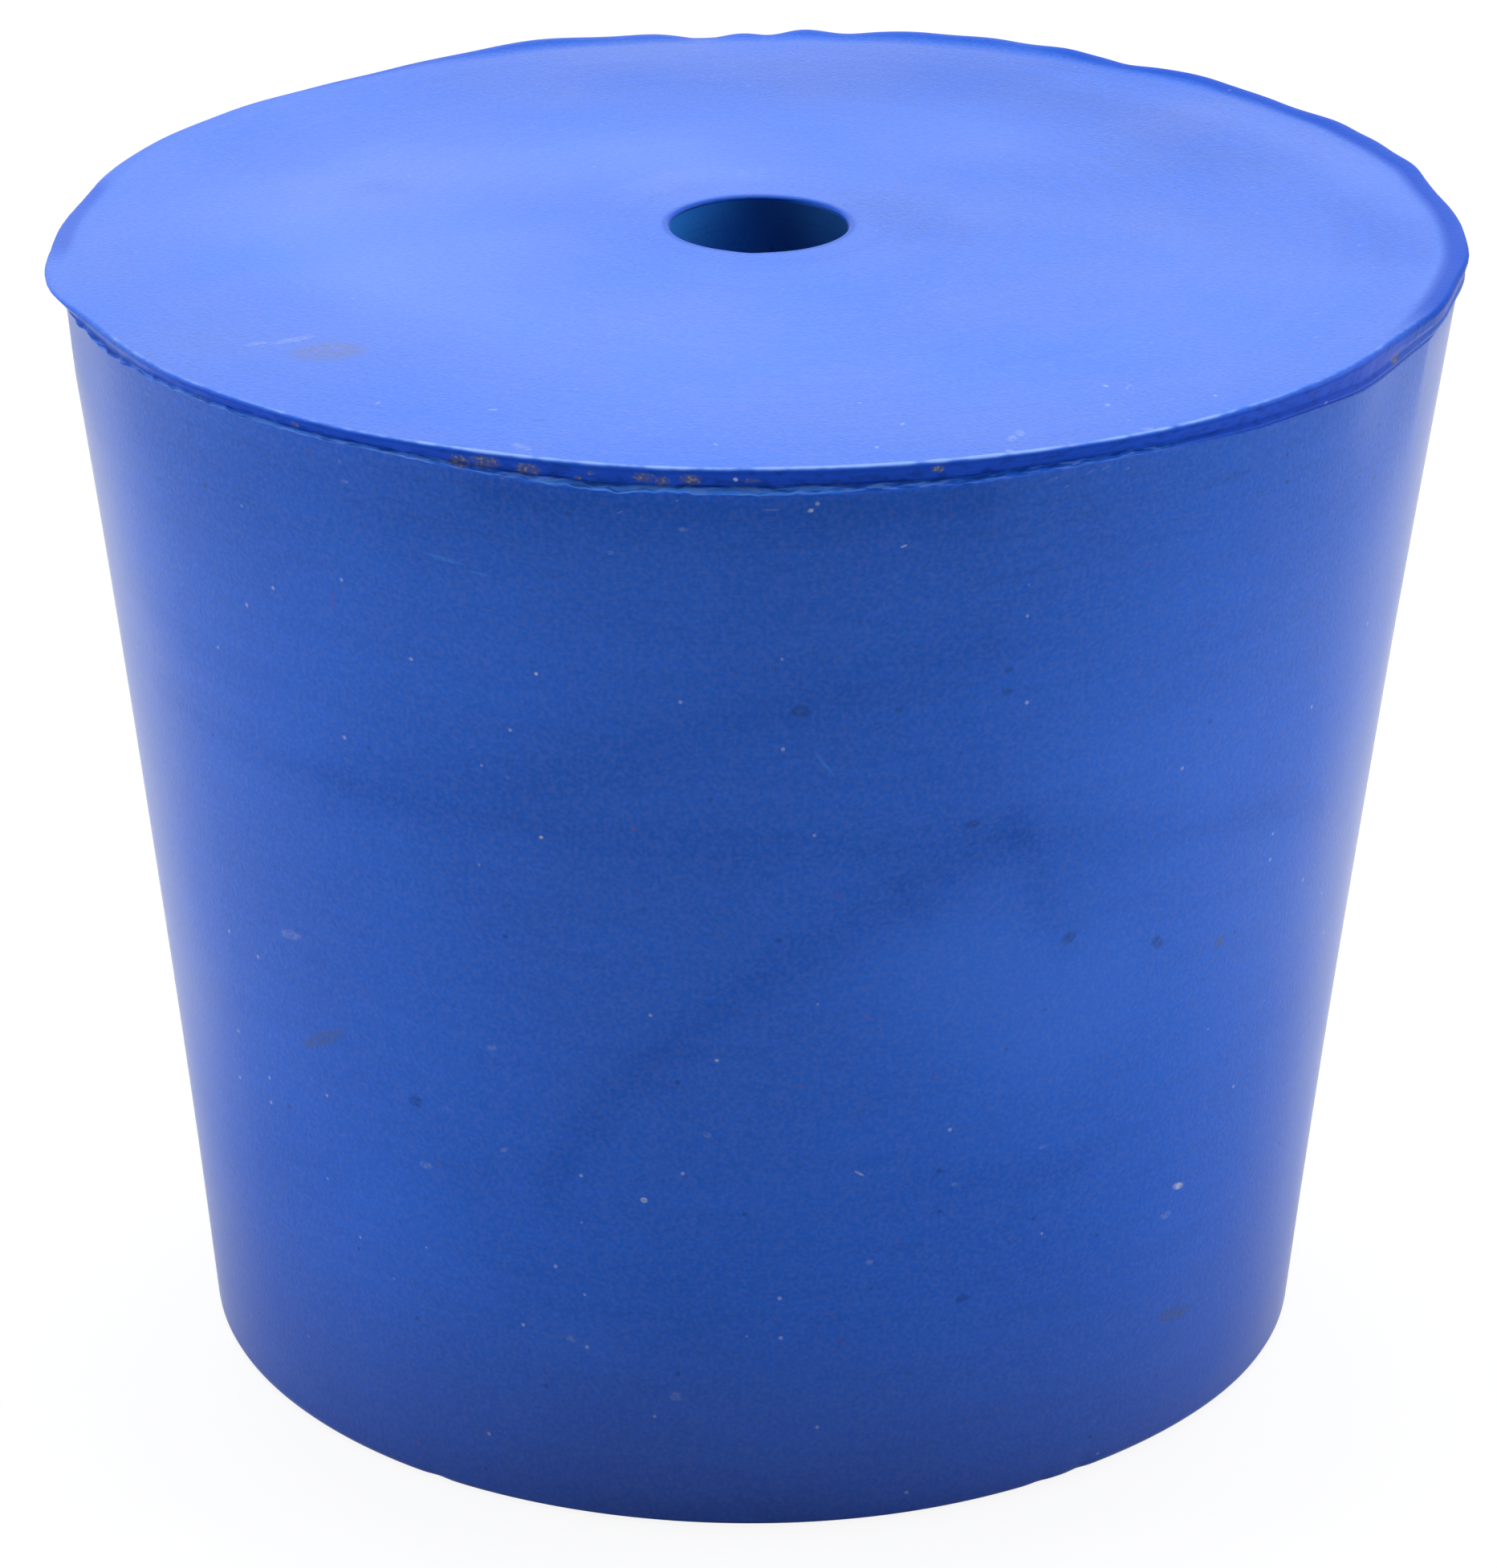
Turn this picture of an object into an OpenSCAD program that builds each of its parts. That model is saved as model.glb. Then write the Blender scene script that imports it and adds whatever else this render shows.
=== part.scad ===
// One-hole rubber stopper, moulded in one piece.
// The plug tapers towards its base, with a slightly hollow side.
// A narrow rim of moulding flash stands proud all round its top edge.
// Millimetres, +Z up. The origin is the centre of the hole on the base plane.

/* [Plug] */
// Diameter of the tapered side just under the rim
top_d = 35; // [20:0.5:60]
// Diameter of the base
base_d = 28.4; // [14:0.1:54]
// Height from the base to the flat top face
height = 29.1; // [15:0.1:60]
// How far the side dips inwards at half height, against a straight taper
side_hollow = 0.15; // [0:0.05:0.8]
// Radius on the edge between side and base
base_edge = 0.3; // [0.1:0.1:1.5]

/* [Hole] */
// Diameter of the hole that takes a glass tube or thermometer
hole_d = 4.5; // [2:0.1:10]
// Distance from the plug's own axis back to the hole
hole_shift = 0.5; // [0:0.1:2]
// Radius on the mouth of the hole at the top face
hole_edge = 0.2; // [0.1:0.05:0.8]

/* [Rim] */
// Thickness of the rim of flash, down from the top face
rim_t = 0.6; // [0.3:0.1:2]
// How far the rim stands out from the side, on average
rim_reach = 0.2; // [0.15:0.05:1.5]
// Size of the rim's waves: the largest lobe stands out by this much more
rim_wave = 0.3; // [0:0.05:0.6]
// Height of the upturned edge that runs along part of the rim
curl_rise = 0.15; // [0.05:0.05:0.5]
// Width of the upturned edge
curl_w = 0.6; // [0.3:0.1:1.5]
// Angle from +X at which the upturned edge starts
curl_from = -18; // [-60:2:20]
// Angle from +X at which the upturned edge ends
curl_to = 118; // [60:2:160]

/* [Hidden] */

// Lobes (positive) and tears (negative) of the rim, going round from +X.
// Each is [direction in degrees, half width in degrees, share of rim_wave].
rim_lobes = [
    [2, 9, 0.5], [18, 5, -0.3], [30, 6, 0.5], [41, 5, -0.2], [52, 5, 0.6],
    [59, 3, -0.5], [68, 5, 0.6], [77, 5, 0.8], [86, 4, -0.4], [94, 4, -0.5],
    [108, 8, 0.5], [131, 8, -0.4], [148, 7, 0.2], [163, 8, -0.4], [181, 13, 1],
    [196, 6, 0.3], [219, 9, 0.2], [243, 8, -0.2], [262, 6, 0.2], [281, 7, -0.2],
    [303, 14, 0.3], [327, 6, 0.15], [343, 7, -0.3]
];

turn = 360;
round_fn = 96;          // facets shown on round forms
side_steps = 12;        // bands down the hollow side
edge_steps = 6;         // bands round the base edge
rim_step = 2;           // degrees between points of the rim's outline
through = 1;            // how far the hole's cutter runs past both faces
bite = 0.1;             // how far one form sinks into another

// The side ends inside the rim, so the two forms cross and never share a face.
side_top = height - rim_t / 2;
taper = (top_d - base_d) / 2 / (height - rim_t);
base_r = base_d / 2;
hole_r = hole_d / 2;
curl_out = top_d / 2 + rim_reach / 8;    // inside the rim, also where the rim is torn back

// Radius of the side at height z: a straight taper less a shallow parabola
function side_r(z) =
    let (t = min(z / (height - rim_t), 1))
    base_r + taper * z - side_hollow * 4 * t * (1 - t);

// Angle between two directions, at most half a turn
function apart(a, b) =
    let (d = abs(a - b) % turn)
    min(d, turn - d);

// Sum of all lobes and tears in direction a, as a share of rim_wave
function lobes_at(a, i = 0) =
    i == len(rim_lobes) ? 0
    : rim_lobes[i][2] * exp(-pow(apart(a, rim_lobes[i][0]) / rim_lobes[i][1], 2))
      + lobes_at(a, i + 1);

// Radius of the rim in direction a. It never falls back to the side, so the rim stays whole.
function rim_r(a) =
    let (least = rim_reach / 4)
    top_d / 2 + max(rim_reach + rim_wave * lobes_at(a), least);

module plug() {
    color("royalblue")
    rotate_extrude($fn = round_fn)
    polygon(concat(
        [[0, 0]],
        [for (i = [0 : edge_steps])
            let (a = -90 + i * (90 - atan(taper)) / edge_steps)
            [side_r(0) - base_edge + base_edge * cos(a), base_edge + base_edge * sin(a)]],
        [for (i = [1 : side_steps])
            let (z = base_edge + i * (side_top - base_edge) / side_steps)
            [side_r(z), z]],
        [[0, side_top]]
    ));
}

module rim() {
    color("mediumblue")
    translate([0, 0, height - rim_t])
    linear_extrude(rim_t)
    polygon([for (a = [0 : rim_step : turn - rim_step]) rim_r(a) * [cos(a), sin(a)]]);
}

// The flash is turned up along part of the rim, as a low ridge with a sloping inner side.
module curl() {
    color("mediumblue")
    translate([0, 0, height])
    rotate([0, 0, curl_from])
    rotate_extrude(angle = curl_to - curl_from, $fn = round_fn)
    polygon([
        [curl_out - curl_w, -bite],
        [curl_out - curl_w, 0],
        [curl_out - curl_w / 4, curl_rise],
        [curl_out, curl_rise],
        [curl_out, -bite]
    ]);
}

// A straight hole right through, with an eased mouth at the top and a plain edge at the base
module hole() {
    translate([0, 0, -through])
    cylinder(h = height + 2 * through, r = hole_r, $fn = round_fn);
    translate([0, 0, height])
    rotate_extrude($fn = round_fn)
    polygon(concat(
        [[0, through], [0, -hole_edge]],
        [for (i = [0 : edge_steps])
            let (a = 90 * i / edge_steps)
            [hole_r + hole_edge * (1 - cos(a)), hole_edge * (sin(a) - 1)]],
        [[hole_r + hole_edge, through]]
    ));
}

module stopper() {
    difference() {
        translate([0, -hole_shift, 0]) {
            plug();
            rim();
            curl();
        }
        hole();
    }
}

stopper();
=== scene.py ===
# %% [markdown]
# # Dressing a one-hole rubber stopper
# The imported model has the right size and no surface. This lesson loads it as a fixed frame, spins
# one detailed moulding that stands in its place, and gives it the look of blue moulded rubber.
# Lengths are written in millimetres and multiplied by MM, because Blender works in metres.

# %% Load the frame
import math

import bmesh
import bpy
from mathutils import Matrix, Vector, noise


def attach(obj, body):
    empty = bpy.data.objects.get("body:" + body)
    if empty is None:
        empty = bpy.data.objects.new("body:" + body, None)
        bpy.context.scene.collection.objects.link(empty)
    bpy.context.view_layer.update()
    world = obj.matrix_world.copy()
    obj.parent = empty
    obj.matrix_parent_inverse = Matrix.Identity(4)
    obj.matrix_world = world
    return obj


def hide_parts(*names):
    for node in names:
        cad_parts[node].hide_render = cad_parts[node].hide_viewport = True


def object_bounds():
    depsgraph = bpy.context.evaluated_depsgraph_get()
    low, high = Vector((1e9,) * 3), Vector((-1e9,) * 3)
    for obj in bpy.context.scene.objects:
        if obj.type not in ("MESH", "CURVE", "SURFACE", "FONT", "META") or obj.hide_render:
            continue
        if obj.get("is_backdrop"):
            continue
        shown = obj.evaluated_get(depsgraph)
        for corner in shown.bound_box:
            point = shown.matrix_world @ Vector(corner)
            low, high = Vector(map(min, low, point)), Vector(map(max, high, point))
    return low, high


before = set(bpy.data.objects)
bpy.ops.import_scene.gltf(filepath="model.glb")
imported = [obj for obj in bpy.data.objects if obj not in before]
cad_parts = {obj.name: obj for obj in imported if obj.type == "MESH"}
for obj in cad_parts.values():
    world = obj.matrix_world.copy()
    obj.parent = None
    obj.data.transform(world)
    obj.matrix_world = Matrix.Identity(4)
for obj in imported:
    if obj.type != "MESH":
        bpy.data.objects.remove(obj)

MM = 0.001
TURN = 2 * math.pi
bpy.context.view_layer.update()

# %% [markdown]
# ## The camera
# A longer lens from further away flattens the shape, so distance and lens are chosen together.
# The pitch is how far the camera looks down. The roll is a small tilt of the camera in the hand.
# The lens looks straight at its target, so no shift is needed.

# %% Place the camera
CAMERA_TARGET = Vector((-0.125, -0.5, 14.03)) * MM
CAMERA_DISTANCE = 174.8 * MM
CAMERA_PITCH = math.radians(22.75)
CAMERA_ROLL = math.radians(0.1)
LEVEL = math.radians(90)            # a camera turned this far about X looks at the horizon
LENS_LENGTH = 154.8                 # a camera's own sizes are set in millimetres, without MM
SENSOR_WIDTH = 36

lens = bpy.data.cameras.new("portrait_lens")
lens.lens = LENS_LENGTH
lens.sensor_width = SENSOR_WIDTH
camera = bpy.data.objects.new("camera", lens)
bpy.context.scene.collection.objects.link(camera)
turn_down = Matrix.Rotation(LEVEL - CAMERA_PITCH, 4, "X")
tilt = Matrix.Rotation(CAMERA_ROLL, 4, "Z")
backwards = Vector((0, -math.cos(CAMERA_PITCH), math.sin(CAMERA_PITCH)))
standpoint = Matrix.Translation(CAMERA_TARGET + backwards * CAMERA_DISTANCE)
camera.matrix_world = standpoint @ turn_down @ tilt
bpy.context.scene.camera = camera
print("camera stands", round(CAMERA_DISTANCE / MM), "mm from its target")

# %% [markdown]
# ## The stopper's sizes
# These repeat the construction's own values, so the moulding lies on the solid that it stands for.
# The origin is the centre of the hole on the base. The plug's own axis is half a millimetre in
# front of it, so the shape is spun about its own axis first, and moved at the end.

# %% Repeat the construction's sizes
TOP_R = 17.5
BASE_R = 14.2
HEIGHT = 29.1
SIDE_HOLLOW = 0.15
BASE_EDGE = 0.3
HOLE_R = 2.25
HOLE_SHIFT = 0.5
RIM_THICKNESS = 0.6
RIM_WAVE = 0.3
CURL_RISE = 0.15
CURL_FROM = -18
CURL_TO = 118
SIDE_HEIGHT = HEIGHT - RIM_THICKNESS
TAPER = (TOP_R - BASE_R) / SIDE_HEIGHT


def side_radius(height):
    """Radius of the side at a height: a straight taper less a shallow hollow."""
    share = min(height / SIDE_HEIGHT, 1)
    return BASE_R + TAPER * height - SIDE_HOLLOW * 4 * share * (1 - share)


print("side radius", side_radius(0), "at the base and", side_radius(SIDE_HEIGHT), "under the rim")

# %% [markdown]
# ## The waves of the rim
# Rubber squeezes out where the two halves of a mould meet. The thin sheet is torn off by hand, and
# what stays on the part is a rim with lobes and tears. The construction has the same rim with the
# large lobes only. Here the small ones are added.

# %% List the lobes and tears of the rim
# Each is (direction in degrees from +X, half width in degrees, share of the wave).
RIM_LOBES = [
    (-19, 4, 0.2), (-8, 5, 0.3), (0, 4, 0.1), (10, 5, -0.3), (17, 3, 0.3), (24, 3, 0.2),
    (30, 3, 0.3), (36, 3, -0.2), (48, 4, 0.45), (55, 2, -0.4), (62, 3, 0.7),
    (69, 4, 0.9), (76, 4, 0.8), (82, 2, -0.4), (86, 2, 0.4), (89, 2, -0.9), (95, 3, -1.5),
    (103, 3, -0.2), (110, 4, 0.5), (118, 4, -0.2), (127, 5, -0.8), (135, 6, -0.9),
    (146, 6, -0.5), (158, 7, -0.3), (171, 7, -0.7), (190, 5, 0.7), (196, 5, 0.9),
    (219, 9, 0.4), (235, 7, 0.3), (243, 8, 0.1), (262, 9, 0.3), (303, 10, 0.2),
    (331, 6, -0.5), (354, 4, 0.1),
]
DEEPEST_TEAR = -0.40            # the rim is never torn back further than this


def apart(first, second):
    """Angle between two directions in degrees, at most half a turn."""
    gap = abs(first - second) % 360
    return min(gap, 360 - gap)


def hump(angle, middle, half_width):
    """A smooth hump round the rim: 1 in the middle, and near 0 at twice the half width."""
    return math.exp(-(apart(angle, middle) / half_width) ** 2)


def lobes_at(angle):
    """All lobes and tears together, in one direction."""
    return sum(share * hump(angle, middle, half_width) for middle, half_width, share in RIM_LOBES)


def rim_wave(angle):
    """How far the rim stands outside or inside its mean radius."""
    return max(RIM_WAVE * lobes_at(angle), DEEPEST_TEAR)


waves = [rim_wave(angle) for angle in range(360)]
print("the rim waves between", round(min(waves), 3), "and", round(max(waves), 3), "mm")

# %% [markdown]
# ## The section
# A stopper is round, so it is made as a turner would make it: one closed section, spun about the
# axis. The section runs up the bore, over the mouth, out along the top face, down the land and the
# torn bead of the rim, down the side, and back along the base.
# Each point also carries shares from 0 to 1. They say how much its ring follows the hole's place,
# the waves, the tear and the turned-up edge of the rim, once the section has been spun.

# %% Start the section
SHARES = ("hole", "wave", "under", "tear", "slit", "curl", "land", "wear", "depth", "along", "fine")
moulding = bmesh.new()
layers = {name: moulding.verts.layers.float.new(name) for name in SHARES}
section = []


def station(radius, height, **shares):
    """Adds the section's next point, with its shares and its distance along the section."""
    point = moulding.verts.new((radius, 0, height))
    for name, share in shares.items():
        point[layers[name]] = share
    if section:
        moulding.edges.new((section[-1], point))
        step = (point.co - section[-1].co).length
        point[layers["along"]] = section[-1][layers["along"]] + step
    section.append(point)


def smooth(share):
    """Turns a straight ramp from 0 to 1 into one that starts and ends gently."""
    share = min(max(share, 0), 1)
    return share * share * (3 - 2 * share)


print("a point carries", len(SHARES), "values")

# %% [markdown]
# ### Bore and mouth
# The bore is left by a steel pin in the mould, so it is straight and plain. Its mouth is rounded,
# because a sharp lip of rubber would tear. The pin's shoulder has worn to a smaller round here than
# the construction gives it. A ring very near the round keeps the shading of the flat face flat, and
# one more ring bounds the lip where glass tubes have rubbed the bloom off.
# The top face has its rings closer together toward the rim, where it turns up and waves.

# %% Draw the bore, the mouth and the top face
BORE_RINGS = 4
BORE_SHADE = 0.15               # the bore's painted shade is full below this depth
MOUTH_ROUND = 0.1
MOUTH_STEPS = 6
LIP_WIDTH = 0.12                # round the mouth the bloom is rubbed off over this width
QUARTER = math.radians(90)
HOLD = 0.03                     # distance of a ring that holds the shading flat beside a round
LAND_R = 17.60                  # mean radius of the land, the short upright face above the tear
LAND_ROUND = 0.12
TOP_RINGS = 34
CROWDING = 1.7                  # the face's rings crowd toward the rim by this power
EDGE_HIGHLIGHT_SHARE = 0.5                 # the face's last ring has this share of the painted edge highlight
WAVE_START = 15.8               # inside this radius the top face does not follow the rim's waves
CURL_WIDTH = 0.6

for step in range(BORE_RINGS):
    height = (HEIGHT - MOUTH_ROUND - HOLD) * (1 - (1 - step / (BORE_RINGS - 1)) ** 2)
    station(HOLE_R, height, hole=1, depth=smooth((HEIGHT - height) / BORE_SHADE))
for step in range(MOUTH_STEPS + 1):
    lean = QUARTER * step / MOUTH_STEPS
    across = MOUTH_ROUND * (1 - math.cos(lean))
    station(HOLE_R + across, HEIGHT - MOUTH_ROUND * (1 - math.sin(lean)), hole=1)

mouth_r = HOLE_R + MOUTH_ROUND + HOLD
station(mouth_r, HEIGHT, hole=1)
mouth_r += LIP_WIDTH
face_edge = LAND_R - LAND_ROUND - HOLD
for step in range(TOP_RINGS + 1):
    share = step / TOP_RINGS
    radius = mouth_r + (face_edge - mouth_r) * (1 - (1 - share) ** CROWDING)
    station(
        radius, HEIGHT,
        hole=1 - smooth((radius - mouth_r) / (WAVE_START - mouth_r)),
        wave=smooth((radius - WAVE_START) / (face_edge - WAVE_START)),
        curl=smooth((radius - face_edge + CURL_WIDTH) / CURL_WIDTH),
        fine=float(radius > WAVE_START), wear=EDGE_HIGHLIGHT_SHARE * (step == TOP_RINGS),
    )
print(len(section), "points up to the edge of the top face")

# %% [markdown]
# ### Land and torn bead
# The land is the short upright face that the upper mould half leaves. Below it runs the tear: a
# thin ragged bead, where the flash was pulled off. It stands a little proud, so it catches light
# against the darker land, and it also gets painted light, with painted shade in the creases
# beside it.

# %% Draw the land and the bead
# A painted highlight lies along the round edge above the land. Each step down the round has its
# share of it.
EDGE_HIGHLIGHT_STEPS = (0.8, 1.0, 0.55, 0.25, 0.08, 0.0)
LAND_STEPS = len(EDGE_HIGHLIGHT_STEPS)
LAND_FOOT_R = 17.53
LAND_FOOT = HEIGHT - 0.4
LAND_TEAR = 0.3                 # the foot of the land has this share of the tear's movement
# Each is (distance out from the side, distance below the top face, share of the tear, of the
# painted shade in the creases beside the bead).
BEAD = [
    (0.02, 0.42, 0.4, 0.8), (0.04, 0.44, 0.7, 0.5), (0.07, 0.47, 1.0, 0.1), (0.10, 0.50, 1.0, 0),
    (0.11, 0.54, 1.0, 0), (0.10, 0.58, 1.0, 0.1), (0.06, 0.62, 1.0, 0.2), (0.02, 0.65, 0.9, 0.4),
]

for step in range(LAND_STEPS):
    lean = QUARTER * step / (LAND_STEPS - 1)
    radius = LAND_R - LAND_ROUND + LAND_ROUND * math.sin(lean)
    height = HEIGHT - LAND_ROUND + LAND_ROUND * math.cos(lean)
    station(
        radius, height, wave=1, curl=1, fine=1, land=step / (LAND_STEPS - 1), wear=EDGE_HIGHLIGHT_STEPS[step],
    )
for step in range(1, LAND_STEPS + 1):
    share = step / LAND_STEPS
    radius = LAND_R + (LAND_FOOT_R - LAND_R) * share
    height = HEIGHT - LAND_ROUND + (LAND_FOOT - HEIGHT + LAND_ROUND) * share
    station(
        radius, height, wave=1, curl=1 - share, fine=1, land=1, tear=LAND_TEAR * share,
        slit=smooth(share),
    )
for place, (out, down, tear, slit) in enumerate(BEAD):
    station(
        TOP_R + out, HEIGHT - down, wave=1, fine=1, tear=tear, slit=slit, land=1 - tear,
        under=(place + 1) / len(BEAD),
    )
print(len(section), "points down to the underside of the bead")

# %% [markdown]
# ### Side and base
# The side is as the cavity left it, a taper with a slight hollow. A second ring right under the
# bead keeps the bead's shading off the side. The base edge has a small round. The base is flat,
# because it rests on the bench.

# %% Draw the side, the base edge and the base
SIDE_RINGS = 60
SIDE_START = HEIGHT - 0.68
FINE_END = HEIGHT - 1.7                # the rim's close spacing of points ends at this height
EDGE_STEPS = 5
BASE_RINGS = 4

heights = [SIDE_START, SIDE_START - HOLD]
heights += [
    SIDE_START + (BASE_EDGE + HOLD - SIDE_START) * step / SIDE_RINGS
    for step in range(1, SIDE_RINGS + 1)
]
for height in heights:
    station(side_radius(height), height, under=1, fine=float(height > FINE_END))
for step in range(EDGE_STEPS + 1):
    lean = QUARTER * step / EDGE_STEPS
    radius = side_radius(BASE_EDGE) - BASE_EDGE * (1 - math.cos(lean))
    station(radius, BASE_EDGE * (1 - math.sin(lean)))
base_start = side_radius(BASE_EDGE) - BASE_EDGE - HOLD
for step in range(BASE_RINGS):
    share = step / BASE_RINGS
    station(base_start + (HOLE_R - base_start) * share, 0, hole=smooth(share))
moulding.edges.new((section[-1], section[0]))
print("the closed section has", len(section), "points")

# %% [markdown]
# ## Spin
# A full spin with its last ring merged into the first leaves no seam. The rim needs closer points
# than the rest, because the tear is much finer than the side. Its ring edges are cut again.

# %% Spin the section and cut the rim's rings finer
SPIN_STEPS = 480
RIM_CUTS = 2
SAME_RING = 1e-4                # two points of one ring have the same distance along the section

bmesh.ops.spin(
    moulding, geom=moulding.verts[:] + moulding.edges[:], cent=(0, 0, 0), axis=(0, 0, 1),
    dvec=(0, 0, 0), angle=TURN, steps=SPIN_STEPS, use_merge=True, use_duplicate=False,
)
along = layers["along"]
fine = layers["fine"]
rim_edges = [
    edge for edge in moulding.edges
    if abs(edge.verts[0][along] - edge.verts[1][along]) < SAME_RING
    and edge.verts[0][fine] > 0 and edge.verts[1][fine] > 0
]
bmesh.ops.subdivide_edges(moulding, edges=rim_edges, cuts=RIM_CUTS)
bmesh.ops.recalc_face_normals(moulding, faces=moulding.faces)
print("spun into", len(moulding.verts), "points and", len(moulding.faces), "faces")

# %% [markdown]
# ## Shape
# Now the round shape gets what makes it a real moulding. Smooth noise stands for rubber that never
# comes out of the mould quite even. The bead gets three sizes of noise, as a torn edge has. Each
# movement is small, and each has its own size below.

# %% Set the sizes of the movements
SWELL = 0.02                    # the side bulges and sinks by this much
SWELL_SIZE = 9.0
SWELL_FADE = 3.0                # height over which it fades out toward the rim and the base
RAG = 0.07                      # how far the torn bead comes and goes
RAG_DROP = 0.035                # how far it rises and sinks
RAG_SIZES = (1.8, 0.6, 0.25)    # the sizes of its bumps, and how much each size counts
RAG_PARTS = (0.5, 0.7, 0.6)
TEAR_BIAS = 0.2                 # the tear takes more rubber off the bead than it leaves on
LAND_RAG = 0.012                # unevenness of the land
LIP_RAG = 0.02                  # unevenness of the hole's lip
LIP_RAG_SIZE = 1.2
CURL_FADE = 10                  # degrees over which the turned-up edge starts and ends
CURL_SHARE = 0.5                # its height between lobes, as a share of CURL_RISE
CURL_LOBES = 0.3                # how much more of it there is on a full lobe
TUCK_DEPTH = 4.0                # where the rim is torn back, the side follows over this height
BLEND = 2.5                     # height over which the side takes up a movement of the rim
LEAN = 0.11                     # how far the plug leans toward +X at its top
TILT = 0.08                     # how far the top face rises toward TILT_TO
TILT_TO = 320
# Each noise starts somewhere else, so that no two of them rise and fall together.
OUT_SEED = 3.7
DROP_SEED = 6.3
LAND_SEED = 9.1
EDGE_HIGHLIGHT_SEED = 1.9
SWELL_SEED = 1.0
LIP_SEED = 5.0


def grain_at(place, size, seed):
    """Smooth noise between about -1 and 1, with bumps of the given size."""
    return noise.noise(Vector((place[0] / size, place[1] / size, place[2] / size + seed)))


def torn(angle, seed):
    """Several sizes of noise together, round the rim."""
    turn = math.radians(angle)
    place = (TOP_R * math.cos(turn), TOP_R * math.sin(turn), 0)
    return sum(part * grain_at(place, size, seed) for size, part in zip(RAG_SIZES, RAG_PARTS))


def curl_at(angle):
    """Share of the full turn-up: only along part of the rim, and less where it is torn away."""
    middle = (CURL_FROM + CURL_TO) / 2
    reach = (CURL_TO - CURL_FROM) / 2
    window = smooth((reach - apart(angle, middle)) / CURL_FADE + 1 / 2)
    return window * min(max(CURL_SHARE + CURL_LOBES * lobes_at(angle), 0), 1)


print("the tear comes and goes by", RAG, "mm, in bumps of", RAG_SIZES, "mm")


# %% List where the rim is torn, thin, chipped or painted with a highlight
def span(angle, start, end, fade):
    """1 between two directions, and a soft fall to 0 outside them."""
    middle = (start + end) / 2
    return smooth(((end - start) / 2 - apart(angle, middle)) / fade + 1 / 2)


def over_spans(angle, spans):
    """The shares of a table's rows together, in one direction."""
    return sum(share * span(angle, start, end, fade) for start, end, fade, share in spans)


def dent(angle, middle, half_width, depth):
    """The depth of one dent in some direction."""
    return depth * hump(angle, middle, half_width)


# Round the rim the tear is strongest where the sheet was pulled last. Each row of a table is
# (start, end, fade, share), with directions in degrees.
TEAR_SPANS = [
    (200, 303, 6, 1), (214, 246, 6, 0.5), (253, 276, 4, 0.5), (303, 380, 20, 0.12),
    (20, 200, 20, 0.6),
]
# Where the round edge above the land carries its painted highlight, which noise breaks up.
EDGE_HIGHLIGHT_SPANS = [(238, 311, 12, 1), (206, 236, 8, 0.5), (312, 338, 8, 0.35)]
# The sheet is thin here. Where it is thinnest it stands out as a flap, and has no painted shade in
# a crease under it.
THIN_SPANS = [(168, 202, 16, 0.7), (208, 248, 16, 0.32), (290, 308, 12, 0.16)]
CREASE_SHADE_FADING = 2                 # the painted crease shade fades this many times as fast as the sheet thins
SUNK_BEAD = 0.1                 # the bead sinks this far where nothing was torn
# A dent is (direction, half width, depth). The first one is where the land's foot hangs lower.
HANG = (328, 8, 0.2)
NICK = (265, 9, 0.06)           # in the lip of the hole
# Chips and a worn stretch of the base edge
CHIPS = [
    (236, 1.2, 0.05), (301, 1.0, 0.04), (306, 1.0, 0.05), (48, 1.5, 0.06), (131, 1.6, 0.07),
    (308, 22, 0.2),
]
CHIP_HEIGHT = 0.7
DEEP_LAND = (216, 334, 16)      # the land is deep blue here, and milder elsewhere
MILD_LAND = 0.35
BORE_LIGHT_TOWARD = (140, 62)           # painted light in the bore is strongest toward here, over this half width
BORE_LIGHT_SHARE = 0.5
print("the base edge has", len(CHIPS), "worn places")

# %% Work out the rim's shapes once for each direction
RIM_SHAPES = {
    "wave": rim_wave, "curl": curl_at,
    "chips": lambda angle: sum(dent(angle, *chip) for chip in CHIPS),
    "out": lambda angle: torn(angle, OUT_SEED) - TEAR_BIAS,
    "drop": lambda angle: torn(angle, DROP_SEED),
    "land": lambda angle: torn(angle, LAND_SEED),
    "thin": lambda angle: over_spans(angle, THIN_SPANS),
    "hang": lambda angle: dent(angle, *HANG),
    "force": lambda angle: over_spans(angle, TEAR_SPANS),
    "highlight_here": lambda angle: over_spans(angle, EDGE_HIGHLIGHT_SPANS) * (1 + torn(angle, EDGE_HIGHLIGHT_SEED)),
    "tilt": lambda angle: TILT * math.cos(math.radians(angle - TILT_TO)),
    "deep": lambda angle: MILD_LAND + (1 - MILD_LAND) * span(angle, *DEEP_LAND),
    # Share of the bore's painted shade in each direction, less where its painted light falls.
    "bore_shade_share": lambda angle: 1 - BORE_LIGHT_SHARE * hump(angle, *BORE_LIGHT_TOWARD),
}
known = {}


def rim_shape(angle):
    """Every shape of the rim in one direction, worked out once for all points that share it."""
    key = round(angle, 2)
    if key not in known:
        known[key] = {name: shape(key) for name, shape in RIM_SHAPES.items()}
    return known[key]


print("the rim has", len(RIM_SHAPES), "shapes, worked out once for each direction")

# %% Say how far a point moves outward
BORE_END = HOLE_R * 2           # the bore and its lip lie inside this radius
CHIPS_FROM = BASE_R / 2         # the chips and the side's tones lie outside this radius


def rim_push(share, rim, down, outer):
    """How far the rim's waves and its torn or sunk bead move a point outward."""
    follow = share["wave"] * (1 - share["under"] * rim["thin"])
    if share["wave"] == 0 and rim["wave"] < 0:
        follow = outer * (1 - smooth((down - RIM_THICKNESS) / TUCK_DEPTH))
    torn_out = share["tear"] * rim["force"] * RAG * rim["out"]
    ragged = share["land"] * LAND_RAG * rim["land"]
    return follow * rim["wave"] + torn_out + ragged - share["whole"] * SUNK_BEAD


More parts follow.
